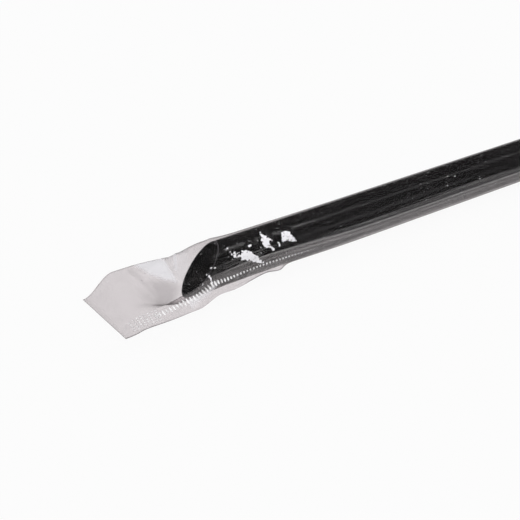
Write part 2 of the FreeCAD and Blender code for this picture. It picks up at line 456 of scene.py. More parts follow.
@dataclass(frozen=True)
class Wrapper:
    """The folded sheet of clear film, with its fin, creases and puckers.

    Attributes:
        shell: The film's thickness, and layer_gap between two pressed layers.
        lead_step: Between rows of points in the flags; pucker_step where the puckers
            are, for pucker_share of the unrolling; sleeve_step beyond.
        seam_step: Between the points of a line along the fin.
        flattening: How flat a low section's edges are; a full one has round_handle.
        pressed_edge: How near the far fold the layers meet.
        crease_edge: How near the folds the creases fade; crease_start at the end.
        ripple_grain: Of the flag's ripples; ripple_layer keeps the layers apart.
        wing_rise: How far ahead of the tip the far fold starts and ends to rise.
        wing_fall: How far past the tip and the rim it starts and ends to fall.
        wing_from: From what share of the half width it is lifted, by wing_lift up and
            wing_reach out.
        tail_curl: How suddenly the fin opens at the tail.
        weld_root: The weld's soft border, inside and outside the fin's root.
    """

    LAYING_ROUNDS = 4

    sizes: PackSizes = PackSizes()
    shell: float = 0.04
    layer_gap: float = 0.06
    lead_step: float = 0.45
    pucker_step: float = 0.3
    sleeve_step: float = 2.0
    quarter_cells: int = 26
    fin_cells: int = 8
    name: str = "film_sheet"
    pucker_share: float = 0.7
    seam_step: float = 0.5
    flattening: float = 0.5
    round_handle: float = 0.5523
    pressed_edge: float = 0.5
    crease_edge: float = 1.2
    crease_start: Spot = (0.3, 3.0)
    ripple_grain: Spot = (0.22, 0.25)
    ripple_layer: float = 7.0
    ripple_height: float = 0.14
    ripple_fade: Spot = (24.0, 36.0)
    wing_rise: Spot = (14.0, 2.0)
    wing_fall: float = 8.0
    wing_from: float = 0.1
    wing_lift: float = 1.6
    wing_reach: float = 0.6
    tail_curl: float = 3.0
    weld_root: Spot = (0.2, 0.4)
    creases: tuple[Crease, ...] = (
        Crease((13.1, 9.0), (15.0, -6.5), -0.35, 1.3),
        Crease((15.3, 5.0), (20.6, -4.6), 0.55, 2.4),
        Crease((15.3, -1.5), (18.6, -7.5), -0.6, 2.8),
        Crease((21.9, 7.7), (21.0, -4.5), 0.45, 1.3),
        Crease((26.0, 7.0), (22.4, -1.0), 0.35, 1.0),
    )
    puckers: tuple[Pucker, ...] = (
        Pucker(41.0, 30.0, 5.0, 26.0, 0.45, 0.6, 38.0),
        Pucker(47.6, 55.0, 2.2, 28.0, 0.35, 0.5, 12.0),
        Pucker(53.6, 48.0, 2.6, 20.0, 0.35, 0.5, 20.0),
    )
    fin_lumps: tuple[FinLump, ...] = (
        FinLump(34.0, 5.0, 0.2),
        FinLump(49.3, 2.2, 0.2),
    )
    # Painted light: white painted glints on the sleeve, painted sheen on the flag's creases and
    # painted shade in its dimple.
    painted_patches: tuple[PaintedPatch, ...] = (
        PaintedPatch(
            (
                (39.6, 52.0), (41.8, 43.0), (43.0, 31.0), (45.2, 4.0),
                (43.0, 11.0), (40.8, 25.0), (38.7, 29.0),
            ),
            strength=0.85,
        ),
        PaintedPatch(
            ((36.5, 56.0), (38.6, 49.5), (38.5, 33.0), (37.2, 40.0), (36.4, 49.0)),
            strength=0.62,
        ),
        PaintedPatch(
            (
                (46.9, 83.0), (47.9, 60.0), (49.5, 51.0), (48.0, 49.0),
                (48.1, 36.0), (46.5, 36.0), (45.7, 48.0),
            ),
            strength=0.75,
        ),
        PaintedPatch(((48.2, 36.0), (49.2, 28.0), (48.2, 25.5))),
        PaintedPatch(((50.1, 42.0), (50.6, 41.0), (50.9, 31.0), (50.5, 31.0)), soft=0.4),
        PaintedPatch(
            (
                (52.2, 61.0), (54.1, 62.0), (54.9, 51.0),
                (55.8, 31.0), (54.1, 33.0), (51.5, 41.0),
            ),
            strength=0.75,
        ),
        PaintedPatch(((41.9, 56.5), (42.6, 56.5), (42.6, 53.0), (41.9, 53.0))),
        PaintedPatch(((35.9, 67.5), (36.5, 67.5), (36.5, 64.0), (35.9, 64.0))),
        PaintedPatch(((29.8, 37.8), (31.6, 32.8), (31.6, 31.0), (29.8, 36.0)), soft=0.4),
        PaintedPatch(
            ((28.4, 28.5), (28.8, 28.5), (29.3, 8.0), (28.9, 8.0)), strength=0.9, soft=0.4
        ),
        PaintedPatch(
            (
                (21.0, -1.0), (26.6, 1.2), (30.2, 7.6),
                (30.4, 5.2), (26.8, -1.2), (21.2, -3.4),
            ),
            Effect.PAINTED_SHEEN, 0.55, 0.4,
        ),
        PaintedPatch(
            ((15.0, 9.7), (21.9, 7.7), (20.6, -4.4), (18.5, -1.9), (16.3, 2.7)),
            Effect.PAINTED_SHEEN, 0.75, 1.0, False,
        ),
        PaintedPatch(
            ((21.9, 7.7), (29.5, 8.0), (25.5, -2.0), (21.2, -4.8)),
            Effect.PAINTED_SHEEN, 0.12, 1.0, False,
        ),
        PaintedPatch(
            ((25.1, 7.5), (25.9, 7.5), (22.7, -0.5), (22.2, -0.5)),
            Effect.PAINTED_SHEEN, 0.7, 0.7, False,
        ),
        PaintedPatch(
            ((15.1, 0.5), (18.3, -2.2), (20.3, -5.5), (17.4, -9.2), (14.6, -6.7)),
            Effect.SHADE, 0.8, 2.0, False,
        ),
        PaintedPatch(
            ((12.7, 9.6), (13.5, 9.6), (15.4, -6.5), (14.4, -6.5)),
            Effect.SHADE, 0.5, 0.9, False,
        ),
    )

    def sheet_seam_turn(self, distance: float) -> float:
        """How far the seam is turned up around the straw.

        Args:
            distance: From the lead end edge.

        Returns:
            The turn in degrees.
        """
        size = self.sizes
        most = size.rim + size.roll_length
        turned_up = size.seam_roll * ease(distance, size.droop_length, most)
        settled = ease(distance, most, size.rim + size.unroll_length)
        return mix(turned_up, size.seam_level, settled)

    def half_width(self, rise: float) -> float:
        """Half the sleeve's width where its layers rise that far.

        Args:
            rise: Mean rise of the two layers.

        Returns:
            The width at which the film is neither stretched nor slack.
        """
        power = math.log(2) / math.log(math.pi / 2)
        left = self.sizes.quarter_girth**power - rise**power
        return max(left, 0.0) ** (1 / power)

    def drop_to_surface(self, middle: float, tilt: float, top: float) -> float:
        """How far the lower layer drops to lie on the surface.

        Args:
            middle: Height of the section's middle.
            tilt: Its tilt in degrees.
            top: Rise of its upper layer.

        Returns:
            The drop below the tilted middle.
        """
        thick = self.sizes.solid_film
        lean = math.radians(tilt)
        drop = middle - thick
        for _ in range(self.LAYING_ROUNDS):
            width = self.half_width((top + drop) / 2) + thick
            reach = math.sqrt(middle**2 - (width * math.sin(lean)) ** 2)
            drop = reach / math.cos(lean) - thick
        return drop

    def fin_shares(self, distance: float) -> Spot:
        """How far the fin is turned down where it starts, and wrapped at its edge.

        Args:
            distance: From the lead end edge.

        Returns:
            The two shares, from 0 to 1.
        """
        size = self.sizes
        turned = ease(distance, size.droop_length, size.rim + size.fin_turn_length)
        wrapped = ease(distance, size.droop_length, size.rim + size.fin_wrap_length)
        for lump in self.fin_lumps:
            wrapped -= lump.share(distance)
        return turned, wrapped

    def section(self, distance: float) -> Section:
        """The sleeve's section at one distance.

        Args:
            distance: From the lead end edge.

        Returns:
            The section.
        """
        if distance <= self.sizes.rim:
            return self.lead_section(distance)
        if distance <= self.sizes.straw_end + self.sizes.end_gap:
            return self.sleeve_section(distance)
        return self.tail_section(distance)

    def lead_section(self, distance: float) -> Section:
        """The flag ahead of the straw, and its opening up over the slanting cut.

        Args:
            distance: From the lead end edge.

        Returns:
            The section.
        """
        size = self.sizes
        tip = size.lead_flag
        raised = ease(distance, 0, size.droop_length)
        opened = ease(distance, size.droop_length, size.rim)
        corner = size.quarter_girth + size.solid_film
        edge = size.solid_film + corner * math.sin(math.radians(size.edge_tilt))
        halfway = mix(tip, size.rim, 0.5)
        beside_cut = 1 - ease(abs(distance - halfway), 0, size.cut_length / 2)
        middle = mix(edge, size.flag_height, raised)
        middle = mix(middle, size.axis_height, opened) + size.fold_lift * beside_cut
        tilt = size.edge_tilt * (1 - raised) + self.sheet_seam_turn(distance)

        unsealed = ease(distance, size.end_seal, size.droop_length)
        layer = size.flag_opening * unsealed
        if distance < tip:
            opening = ease(distance, size.droop_length, tip)
            top = mix(layer, size.tent_rise, opening)
        else:
            share = (distance - tip) / size.cut_length
            top = mix(size.tent_rise, size.sleeve_radius + size.slack, share)
        landed = ease(distance, size.droop_length, tip - size.touch_down)
        under = layer
        if landed > 0:
            under = mix(layer, self.drop_to_surface(middle, tilt, top), landed)
        shift = size.flag_shift * (1 - landed)
        across = 2 * size.quarter_girth + size.fin_width
        skew = size.edge_skew / across * (1 - raised)
        shares = self.fin_shares(distance)
        return Section(distance, middle, tilt, top, under, *shares, shift, skew)

    def sleeve_section(self, distance: float) -> Section:
        """The round stretch, where the seam settles and the slack ends.

        Args:
            distance: From the lead end edge.

        Returns:
            The section.
        """
        size = self.sizes
        level = ease(distance, size.rim, size.rim + size.unroll_length)
        top = size.sleeve_radius + size.slack * (1 - level)
        tilt = self.sheet_seam_turn(distance)
        under = self.drop_to_surface(size.axis_height, tilt, top)
        shares = self.fin_shares(distance)
        return Section(distance, size.axis_height, tilt, top, under, *shares)

    def tail_section(self, distance: float) -> Section:
        """The sleeve closing down to a flat end that lies on the surface.

        Args:
            distance: From the lead end edge.

        Returns:
            The section.
        """
        size = self.sizes
        start = size.straw_end + size.end_gap
        share = ease(distance, start, size.pack_length - size.end_seal)
        top = size.sleeve_radius * (1 - share)
        middle = top + size.solid_film
        tilt = size.seam_level * (1 - share)
        under = self.drop_to_surface(middle, tilt, top)
        curl = (1 - share) ** self.tail_curl
        return Section(distance, middle, tilt, top, under, curl, curl)

    def stations(self) -> list[float]:
        """Where the sheet's rows of points lie, close together at the creased end.

        Returns:
            Distances from the lead end edge.
        """
        size = self.sizes
        creased = size.rim
        puckered = size.rim + size.unroll_length * self.pucker_share
        tail = size.straw_end - 2 * self.sleeve_step
        runs = (
            (0.0, creased, self.lead_step),
            (creased, puckered, self.pucker_step),
            (puckered, tail, self.sleeve_step),
            (tail, size.pack_length, self.lead_step),
        )
        places = [0.0]
        for start, finish, step in runs:
            count = max(1, round((finish - start) / step))
            places += [mix(start, finish, (i + 1) / count) for i in range(count)]
        return places

    def lift(self, section: Section, layer: Layer, across: float, width: float) -> float:
        """How much creases raise one layer of the flag at one place.

        Args:
            section: The section there.
            layer: The layer of the sheet.
            across: Across the section, the far side positive.
            width: Half the section's width.

        Returns:
            The lift along the section's own upward direction.
        """
        edge = ease(width - abs(across), 0, self.crease_edge)
        edge *= ease(section.distance, *self.crease_start)
        creases = self.creases if layer is Layer.UPPER else ()
        total = sum(crease.height(section.distance, across) for crease in creases)
        grain = self.ripple_grain
        level = layer.value * self.ripple_layer
        spot = Vector((section.distance * grain[0], across * grain[1], level))
        fading = 1 - ease(section.distance, *self.ripple_fade)
        ripple = noise.noise(spot) * self.ripple_height * fading
        return (total + ripple) * edge

    def wing(self, distance: float) -> float:
        """How much of the far fold's lift beside the slanting cut is there.

        Args:
            distance: From the lead end edge.

        Returns:
            The share, from 0 to 1.
        """
        size = self.sizes
        rise, full = (size.lead_flag - ahead for ahead in self.wing_rise)
        falling = ease(distance, size.lead_flag + self.wing_fall, size.rim + self.wing_fall)
        return ease(distance, rise, full) * (1 - falling)

    def placer(self, section: Section, width: float) -> Callable[[float, float], Vector]:
        """What puts a place of a section, across and up, on the pack.

        Args:
            section: The section.
            width: Half its width.

        Returns:
            A function from across and up to a point, in millimetres from the lead end
            edge, the straw's axis line and the surface.
        """
        lean = math.radians(section.tilt)
        wing = self.wing(section.distance)

        def place(across: float, up: float) -> Vector:
            """Puts one place on the pack, with the far fold's lift."""
            along = section.distance + section.skew * (width - across)
            y = section.shift + across * math.cos(lean) + up * math.sin(lean)
            z = section.middle - across * math.sin(lean) + up * math.cos(lean)
            far = wing * ease(across / width, self.wing_from, 1.0)
            y += far * self.wing_reach
            z += far * self.wing_lift
            return Vector((along, y, max(z, self.shell / 2)))

        return place

    def row(self, distance: float) -> list[Vector]:
        """One row of points across the sheet.

        The row runs from the fin's free edge over the upper layer, round the far fold
        and back under the straw to the fin's free edge.

        Args:
            distance: From the lead end edge.

        Returns:
            The points in millimetres from the lead end edge, the straw's axis line and
            the surface.
        """
        section = self.section(distance)
        width = self.half_width((section.top + section.under) / 2)
        gap = self.layer_gap / 2
        place = self.placer(section, width)
        upper, lower = (
            [place(*spot) for spot in fin + self.layer_row(section, layer, width, gap)[1:]]
            for layer, fin in zip(Layer, self.fin_rows(section, width, gap))
        )
        return upper + lower[-2::-1]

    def columns(self) -> list[float]:
        """Where a row's points lie across the flat sheet.

        Returns:
            Millimetres from the far fold, the upper layer positive.
        """
        girth = 2 * self.sizes.quarter_girth
        fin = self.sizes.fin_width
        cells = 2 * self.quarter_cells
        half = [girth + fin * (1 - i / self.fin_cells) for i in range(self.fin_cells)]
        half += [girth - girth * i / cells for i in range(cells + 1)]
        return half + [-across for across in half[-2::-1]]

    def layer_row(
        self, section: Section, layer: Layer, width: float, gap: float
    ) -> list[Spot]:
        """One layer of a section, from the fin's root to the far fold.

        Args:
            section: The section.
            layer: Which layer.
            width: Half the section's width.
            gap: Half the space between the pressed layers.

        Returns:
            Places across and up.
        """
        rise = section.top if layer is Layer.UPPER else section.under
        flatness = max(0.0, 1 - abs(rise) / width) * self.flattening
        poles = (
            (width, 0.0),
            (width * (1 - flatness), self.round_handle * rise),
            (width * self.round_handle, rise),
            (0.0, rise),
        )
        spots = []
        cells = self.quarter_cells
        for index in range(2 * cells + 1):
            side = -1 if index <= cells else 1
            share = index / cells if index <= cells else 2 - index / cells
            keep = 1 - share
            weights = (keep**3, 3 * keep**2 * share, 3 * keep * share**2, share**3)
            across = side * sum(w * p[0] for w, p in zip(weights, poles))
            up = sum(w * p[1] for w, p in zip(weights, poles))
            apart = ease(abs(width - abs(across)), 0, self.pressed_edge)
            up = layer.value * (up + gap * (1 - apart * (side > 0)))
            up += self.lift(section, layer, across, width)
            if layer is Layer.UPPER:
                across, up = self.puckered(section, across, up)
            spots.append((across, up))
        return spots

    def puckered(self, section: Section, across: float, up: float) -> Spot:
        """Moves a place on the upper layer out by the puckers that it lies in.

        Args:
            section: The section.
            across: Across it.
            up: Up from its middle.

        Returns:
            The place after the move.
        """
        radius = math.hypot(across, up)
        angle = math.degrees(math.atan2(up, -across)) + section.tilt
        rise = sum(
            pucker.height(section.distance, angle, self.sizes.sleeve_radius)
            for pucker in self.puckers
        )
        share = 1 + rise / radius
        return across * share, up * share

    def fin_rows(
        self, section: Section, width: float, gap: float
    ) -> tuple[list[Spot], list[Spot]]:
        """The fin's two layers, both from the free edge to the root.

        Args:
            section: The section.
            width: Half the section's width.
            gap: Half the space between the pressed layers.

        Returns:
            The upper and the lower layer as places across and up.
        """
        size = self.sizes
        step = size.fin_width / self.fin_cells
        start = math.radians(size.fin_start * section.turned)
        finish = math.radians(size.fin_finish * section.wrapped)
        across, up = -width, 0.0
        upper = [(across, gap)]
        lower = [(across, -gap)]
        for cell in range(self.fin_cells):
            share = (cell + 0.5) / self.fin_cells
            turn = mix(start, finish, share)
            across -= step * math.cos(turn)
            up -= step * math.sin(turn)
            normal = (-math.sin(turn), math.cos(turn))
            upper.append((across + gap * normal[0], up + gap * normal[1]))
            lower.append((across - gap * normal[0], up - gap * normal[1]))
        return upper[::-1], lower[::-1]

    def build(self) -> bpy.types.Object:
        """Makes the sheet as one mesh with a thin shell.

        Returns:
            The sheet's object.
        """
        distances = self.stations()
        across = self.columns()
        points = [point for distance in distances for point in self.row(distance)]
        spots = [(distance, column) for distance in distances for column in across]
        origin = pack_origin(self.sizes)
        vertices = [(point + origin) * MM for point in points]
        width = len(across)
        faces = [
            (corner, corner + 1, corner + width + 1, corner + width)
            for corner in range(len(points) - width)
            if (corner + 1) % width
        ]
        mesh = bpy.data.meshes.new(self.name)
        mesh.from_pydata(vertices, [], faces)
        mesh.polygons.foreach_set("use_smooth", [True] * len(mesh.polygons))
        uv = mesh.uv_layers.new(name="sheet")
        for loop in mesh.loops:
            uv.data[loop.index].uv = [value * MM for value in spots[loop.vertex_index]]
        add_attribute(mesh, "weld", [self.weld_share(spot) for spot in spots])
        # The painted highlights and painted shade go on as point attributes, one for each effect.
        for effect in Effect:
            shares = [self.effect_share(effect, *pair) for pair in zip(spots, points)]
            add_attribute(mesh, effect.value, shares)
        piece = add_object(self.name, mesh)
        shell = piece.modifiers.new("Film", "SOLIDIFY")
        shell.thickness = self.shell * MM
        shell.offset = 0
        shell.use_even_offset = False
        return piece

    def weld_share(self, spot: Spot) -> float:
        """How much of a weld a place lies in.

        Args:
            spot: The place on the flat sheet.

        Returns:
            The share, from 0 to 1.
        """
        size = self.sizes
        root = 2 * size.quarter_girth
        inside, outside = self.weld_root
        fin = ease(abs(spot[1]), root - inside, root + outside)
        near_end = min(spot[0], size.pack_length - spot[0])
        end = 1 - ease(near_end, size.end_seal - outside, size.end_seal)
        return max(fin, end)

    def effect_share(self, effect: Effect, spot: Spot, point: Vector) -> float:
        """How much of a painted highlight or painted shade reaches a point of the sheet.

        Args:
            effect: The effect.
            spot: The point's place on the flat sheet.
            point: Where it is on the pack.

        Returns:
            The largest share of any of the painted patches.
        """
        size = self.sizes
        if spot[1] < 0 or spot[0] > size.rim + size.unroll_length:
            return 0.0
        up = point.z - size.axis_height
        angle = math.degrees(math.atan2(up, -point.y))
        shares = [0.0]
        for patch in self.painted_patches:
            if patch.effect is not effect:
                continue
            if patch.on_sleeve:
                arc = math.radians(1) * size.sleeve_radius
                shares.append(patch.share(point.x, angle, arc))
            else:
                shares.append(patch.share(point.x, point.y, 1.0))
        return max(shares)

    def seam_line(self, offset: float, start: float, finish: float) -> SeamLine:
        """A line along the fin's upper side.

        Args:
            offset: From the fin's root towards its free edge.
            start: Where it begins, from the lead end edge.
            finish: Where it ends.

        Returns:
            The line, with the direction out of the film at each of its points.
        """
        steps = int((finish - start) / self.seam_step) + 1
        places = [start + step * self.seam_step for step in range(steps)]
        points = []
        outwards = []
        cell = self.sizes.fin_width / self.fin_cells
        for distance in places:
            section = self.section(distance)
            width = self.half_width((section.top + section.under) / 2)
            upper, _ = self.fin_rows(section, width, self.layer_gap / 2 + self.shell / 2)
            upper = upper[::-1]
            index = min(int(offset / cell), self.fin_cells - 1)
            share = offset / cell - index
            place = self.placer(section, width)
            first = place(*upper[index])
            second = place(*upper[index + 1])
            points.append(first.lerp(second, share))
            run = (second - first).normalized()
            outwards.append(Vector((1, 0, 0)).cross(run).normalized() * -1)
        return SeamLine(points, outwards)

    def dress(
        self,
        piece: bpy.types.Object,
        film: bpy.types.Material,
        trims: list[bpy.types.Object],
    ) -> None:
        """Args:
            piece: The sheet's object.
            film: The film's material.
            trims: The welded marks that are part of the sheet.
        """
        piece.data.materials.append(film)
        for part in [piece, *trims]:
            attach(part, BODY)
            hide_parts(Node.FILM.value)


class NodeWriter:
    """A node tree, with one short call that adds a node and feeds its inputs."""

    def __init__(self, tree: bpy.types.NodeTree, prefix: str = "") -> None:
        """Takes the tree to fill and empties it.

        Args:
            tree: The tree.
            prefix: What the names of its nodes' types start with.
        """
        self.tree = tree
        self.prefix = prefix
        tree.nodes.clear()

    def add(self, kind: str, feeds: Feeds | None = None, **settings: object) -> bpy.types.Node:
        """Adds a node, sets its properties and feeds its inputs.

        Args:
            kind: The node's type, without the prefix.
            feeds: For each input, by name or place, its value or the socket to join.
            settings: Properties to set on the node.

        Returns:
            The node.
        """
        node = self.tree.nodes.new(self.prefix + kind)
        for key, value in settings.items():
            setattr(node, key, value)
        for key, value in (feeds or {}).items():
            if isinstance(value, bpy.types.NodeSocket):
                self.tree.links.new(value, node.inputs[key])
            else:
                node.inputs[key].default_value = value
        return node

    def out(self, kind: str, output: str, feeds: Feeds | None = None, **settings: object) -> Socket:
        """Adds a node, as add does, and gives one of its outputs."""
        return self.add(kind, feeds, **settings).outputs[output]


class MarkTree(NodeWriter):
    """The Geometry Nodes tree that presses small rounded marks along seam lines."""

    INPUTS = {
        "Pitch": "NodeSocketFloat",
        "Length": "NodeSocketFloat",
        "Width": "NodeSocketFloat",
        "Height": "NodeSocketFloat",
        "Least Scale": "NodeSocketFloat",
        "Seed": "NodeSocketInt",
        "Finish": "NodeSocketMaterial",
    }
    BALL = {"Segments": 8, "Rings": 6, "Radius": 0.5}

    def __init__(self) -> None:
        """Builds the tree with its named inputs."""
        super().__init__(bpy.data.node_groups.new("pressed_marks", "GeometryNodeTree"))
        face = self.tree.interface
        for way in ("OUTPUT", "INPUT"):
            face.new_socket("Geometry", in_out=way, socket_type="NodeSocketGeometry")
        self.sockets = {
            name: face.new_socket(name, in_out="INPUT", socket_type=kind).identifier
            for name, kind in self.INPUTS.items()
        }
        self.fill()

    def fill(self) -> None:
        """Adds the nodes: lines become curves, and each curve point gets a mark."""
        given = self.add("NodeGroupInput").outputs
        curve = self.out("GeometryNodeMeshToCurve", "Curve", {"Mesh": given["Geometry"]})
        spacing = {"Curve": curve, "Length": given["Pitch"]}
        spaced = self.out("GeometryNodeResampleCurve", "Curve", spacing, mode="LENGTH")
        size = {"X": given["Width"], "Y": given["Length"], "Z": given["Height"]}
        shape = {
            "Geometry": self.out("GeometryNodeMeshUVSphere", "Mesh", self.BALL),
            "Scale": self.out("ShaderNodeCombineXYZ", "Vector", size),
        }
        mark = self.out("GeometryNodeTransform", "Geometry", shape)
        smooth = self.out("GeometryNodeSetShadeSmooth", "Geometry", {"Geometry": mark})
        axes = {
            "Primary Axis": self.carried("outward", "FLOAT_VECTOR"),
            "Secondary Axis": self.carried("forward", "FLOAT_VECTOR"),
        }
        turned = self.out(
            "FunctionNodeAxesToRotation", "Rotation", axes, primary_axis="Z", secondary_axis="X"
        )
        draw = {"Min": given["Least Scale"], "Max": 1.0, "Seed": given["Seed"]}
        uneven = self.out("FunctionNodeRandomValue", "Value", draw, data_type="FLOAT")
        share = {0: uneven, 1: self.carried("reach", "FLOAT")}
        length = self.out("ShaderNodeMath", "Value", share, operation="MULTIPLY")
        scale = self.out("ShaderNodeCombineXYZ", "Vector", {"X": 1.0, "Y": length, "Z": 1.0})
        marks = {"Points": spaced, "Instance": smooth, "Rotation": turned, "Scale": scale}
        placed = self.out("GeometryNodeInstanceOnPoints", "Instances", marks)
        whole = self.out("GeometryNodeRealizeInstances", "Geometry", {"Geometry": placed})
        dressed = {"Geometry": whole, "Material": given["Finish"]}
        finished = self.out("GeometryNodeSetMaterial", "Geometry", dressed)
        self.add("NodeGroupOutput", {"Geometry": finished})

    def carried(self, name: str, kind: str) -> Socket:
        """Reads an attribute that the lines carry."""
        return self.out(
            "GeometryNodeInputNamedAttribute", "Attribute", {"Name": name}, data_type=kind
        )

    def press(
        self, name: str, lines: list[SeamLine], origin: Vector, inputs: dict[str, object]
    ) -> bpy.types.Object:
        """Makes the marks along some lines as one plain mesh.

        Args:
            name: The piece's name.
            lines: The lines that the marks follow.
            origin: What carries the lines into the frame, in millimetres.
            inputs: The tree's inputs by name; lengths in metres.

        Returns:
            The piece.
        """
        points, edges = [], []
        carried = {"outward": [], "forward": [], "distance": [], "reach": []}
        for line in lines:
            first = len(points)
            points += [(point + origin) * MM for point in line.points]
            edges += [(i, i + 1) for i in range(first, len(points) - 1)]
            carried["outward"] += line.outwards
            carried["forward"] += line.forwards()
            carried["distance"] += [point.x * MM for point in line.points]
            carried["reach"] += line.reaches()
        mesh = bpy.data.meshes.new(name + "_lines")
        mesh.from_pydata(points, edges, [])
        for key, values in carried.items():
            add_attribute(mesh, key, values)
        piece = add_object(name, mesh)
        modifier = piece.modifiers.new("Marks", "NODES")
        modifier.node_group = self.tree
        for key, value in inputs.items():
            modifier[self.sockets[key]] = value
        graph = bpy.context.evaluated_depsgraph_get()
        made = bpy.data.meshes.new_from_object(piece.evaluated_get(graph))
        made.name = name
        piece.modifiers.remove(modifier)
        piece.data = made
        return piece


@dataclass(frozen=True)
class MarkSize:
    """One kind of pressed mark: length runs across the seam line, width along it."""

    pitch: float
    length: float
    width: float
    height: float
    least_scale: float
    seed: int

    def inputs(self, finish: bpy.types.Material) -> dict[str, object]:
        """The mark tree's inputs for this kind of mark, by name."""
        return {
            "Pitch": self.pitch * MM,
            "Length": self.length * MM,
            "Width": self.width * MM,
            "Height": self.height * MM,
            "Least Scale": self.least_scale,
            "Seed": self.seed,
            "Finish": finish,
        }


@dataclass(frozen=True)
class SeamMarks:
    """The rungs and beads that the sealing jaws pressed into the fin.

    Attributes:
        rung_offset: From the fin's root, as are bead_offsets.
        rung_start: From the lead end edge, as is bead_run.
        full_past_tip: Where the rungs start to shorten; at short_past_tip they end.
        shortest_rung: The short rungs' share of the full length.
    """

    wrapper: Wrapper
    rungs: MarkSize = MarkSize(1.0, 2.3, 0.55, 0.18, 0.7, 4)
    rung_offset: float = 2.1
    rung_start: float = 12.0
    full_past_tip: float = 2.0
    short_past_tip: float = 15.0
    shortest_rung: float = 0.3
    beads: MarkSize = MarkSize(0.95, 0.62, 0.62, 0.2, 0.5, 9)
    bead_offsets: tuple[float, ...] = (0.3, 1.2, 2.1, 3.0, 3.9)
    bead_run: Spot = (4.5, 12.8)

    def build(self, finish: bpy.types.Material) -> list[bpy.types.Object]:
        """Makes the rungs and the beads.

        Args:
            finish: The material of the rungs and beads, painted white as a highlight.

        Returns:
            The two pieces.
        """
        tree = MarkTree()
        size = self.wrapper.sizes
        origin = pack_origin(size)
        end = size.pack_length - size.end_seal
        rung_line = replace(
            self.wrapper.seam_line(self.rung_offset, self.rung_start, end),
            full_until=size.lead_flag + self.full_past_tip,
            short_from=size.lead_flag + self.short_past_tip,
            shortest=self.shortest_rung,
        )
        bead_lines = [
            self.wrapper.seam_line(offset, *self.bead_run) for offset in self.bead_offsets
        ]
        return [
            tree.press("seam_rungs", [rung_line], origin, self.rungs.inputs(finish)),
            tree.press("seam_beads", bead_lines, origin, self.beads.inputs(finish)),
        ]


class ShaderTree(NodeWriter):
    """A material's or world's tree, with a call for each kind of node that recurs."""

    def __init__(self, owner: bpy.types.Material | bpy.types.World) -> None:
        """Takes what the tree belongs to.

        Args:
            owner: The material or the world.
        """
        owner.use_nodes = True
        super().__init__(owner.node_tree, "ShaderNode")
        self.owner = owner

    def math(self, operation: str, *values: object, **settings: object) -> Socket:
        """Works out a sum, a product or the like of numbers and sockets."""
        feeds = dict(enumerate(values))
        return self.out("Math", "Value", feeds, operation=operation, **settings)

    def ramp(
        self, value: Socket, source: Spot = (0, 1), result: Spot = (0, 1), smooth: bool = False
    ) -> Socket:
        """Carries a value from one range to another, and no further.

        Args:
            value: The value's socket.
            source: The range that it comes from.
            result: The range that it goes to.
            smooth: Whether it eases in and out.

        Returns:
            The result's socket.
        """
        ends = ("From Min", "From Max", "To Min", "To Max")
        feeds = {"Value": value, **dict(zip(ends, (*source, *result)))}
        kind = "SMOOTHSTEP" if smooth else "LINEAR"
        return self.out("MapRange", "Result", feeds, interpolation_type=kind)

    def noise(self, places: Socket, grain: Grain, detail: float) -> Socket:
        """Makes uneven grey.

        Args:
            places: The places' socket.
            grain: How many changes there are to a metre along each axis.
            detail: How many finer layers it has.

        Returns:
            The grey's socket.
        """
        stretched = self.out("Mapping", "Vector", {"Vector": places, "Scale": grain})
        feeds = {"Vector": stretched, "Scale": 1.0, "Detail": detail}
        return self.out("TexNoise", "Fac", feeds)

    def bump(self, height: Socket, strength: float, depth: float) -> Socket:
        """Turns a height into a bent normal; the depth is in metres."""
        feeds = {"Height": height, "Strength": strength, "Distance": depth}
        return self.out("Bump", "Normal", feeds)

    def attribute(self, name: str) -> Socket:
        """Reads one of the mesh's point attributes."""
        return self.out("Attribute", "Fac", attribute_name=name)

    def paint(self, share: Socket, first: object, second: object) -> Socket:
        """Mixes two colours, given as values or sockets, by the second's share."""
        feeds = {"Factor": share, "A": first, "B": second}
        return self.out("Mix", "Result", feeds, data_type="RGBA")

    def blend(self, share: Socket, first: Socket, second: Socket) -> Socket:
        """Mixes two surfaces by the second one's share."""
        return self.out("MixShader", "Shader", {"Fac": share, 1: first, 2: second})

    def plastic(self, colour: object, roughness: object, **more: object) -> Socket:
        """Makes a plain surface; its further inputs go in by name."""
        feeds = {"Base Color": colour, "Roughness": roughness, **more}
        return self.out("BsdfPrincipled", "BSDF", feeds)

    def finish(self, surface: Socket) -> bpy.types.Material | bpy.types.World:
        """Gives the owner its surface.

        Args:
            surface: The surface's socket.

        Returns:
            The owner.
        """
        kind = "World" if isinstance(self.owner, bpy.types.World) else "Material"
        self.add("Output" + kind, {"Surface": surface})
        return self.owner


